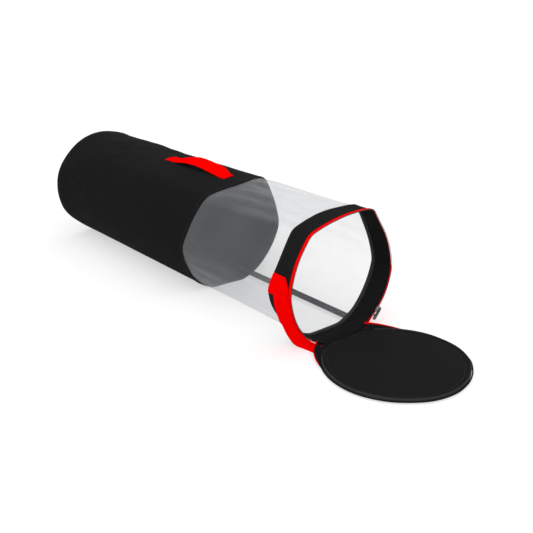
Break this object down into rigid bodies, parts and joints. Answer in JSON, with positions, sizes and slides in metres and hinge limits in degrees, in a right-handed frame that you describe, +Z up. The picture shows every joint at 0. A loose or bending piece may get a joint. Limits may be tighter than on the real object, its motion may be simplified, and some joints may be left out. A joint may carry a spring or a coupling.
{
  "type": "gift wrap organizer",
  "caption": "Soft round storage bag for rolls of gift wrap, with a film window, a zipped lid on a fabric hinge, and webbing handles.",
  "frame": {"origin": "on the floor, under the middle of the whole object's bounding box, with the lid open", "axes": "+X along the bag from its closed end to its mouth and open lid, +Z up from the floor, -Y the side seen in the picture"},
  "size_m": [1.364, 0.314, 0.3049],
  "materials": {
    "black_fabric": "plain black woven polyester, matte with a faint sheen",
    "dark_binding": "dark grey bias binding and zip tape",
    "clear_film": "clear soft vinyl film, glossy, slightly milky",
    "board": "black stiffener sheet inside the bag",
    "red_webbing": "bright red woven polyester webbing",
    "red_tape": "bright red woven zip tape",
    "zip_coil": "black moulded zip coil",
    "zip_metal": "black painted zinc"
  },
  "bodies": {
    "bag": {"rear_body": "black_fabric", "rear_end_panel": "black_fabric", "rear_end_board": "board", "rear_seam_binding": "dark_binding", "body_seam_binding": "dark_binding", "window_film": "clear_film", "window_seam_strip": "dark_binding", "window_rear_binding": "dark_binding", "window_front_binding": "dark_binding", "front_collar": "black_fabric", "mouth_zip_tape": "red_tape", "mouth_zip_coil": "zip_coil", "zip_stop_near": "zip_metal", "zip_stop_far": "zip_metal", "lid_hinge_strip": "black_fabric", "carry_handle_tab_rear": "red_webbing", "carry_handle_tab_front": "red_webbing", "end_handle_tab_near": "red_webbing", "end_handle_tab_far": "red_webbing", "end_handle_side_near": "red_webbing", "end_handle_side_far": "red_webbing"},
    "lid": {"lid_panel": "black_fabric", "lid_board": "board", "lid_lining": "black_fabric", "lid_zip_tape": "dark_binding", "lid_zip_coil": "zip_coil", "lid_edge_piping": "black_fabric", "lid_tape_tail_near": "red_tape", "lid_tape_tail_far": "red_tape"},
    "end_handle": {"end_handle_strap": "red_webbing"},
    "carry_handle": {"carry_handle_strap": "red_webbing"},
    "slider": {"zip_slider": "zip_metal"},
    "pull": {"zip_pull": "zip_metal"}
  },
  "joints": [
    {"name": "lid_hinge", "type": "hinge", "parent": "bag", "child": "lid", "pos_m": [0.3811, 0, 0.0021], "axis": [0, -1, 0], "range_deg": [0, 90]},
    {"name": "end_handle_swing", "type": "hinge", "parent": "bag", "child": "end_handle", "pos_m": [0.3826, 0, 0.0009], "axis": [0, -1, 0], "range_deg": [0, 90]},
    {"name": "carry_handle_lean", "type": "hinge", "parent": "bag", "child": "carry_handle", "pos_m": [-0.265, 0, 0.28272], "axis": [1, 0, 0], "range_deg": [-20, 20]},
    {"name": "slider_travel", "type": "hinge", "parent": "bag", "child": "slider", "pos_m": [0.3716, 0, 0.146], "axis": [1, 0, 0], "range_deg": [0, 268]},
    {"name": "pull_swing", "type": "hinge", "parent": "slider", "child": "pull", "pos_m": [0.3716, 0.11351, 0.03638], "axis": [1, 0, 0], "range_deg": [0, 180]}
  ],
  "couplings": [
    {"joint": "end_handle_swing", "follows": "lid_hinge", "ratio": 1}
  ]
}
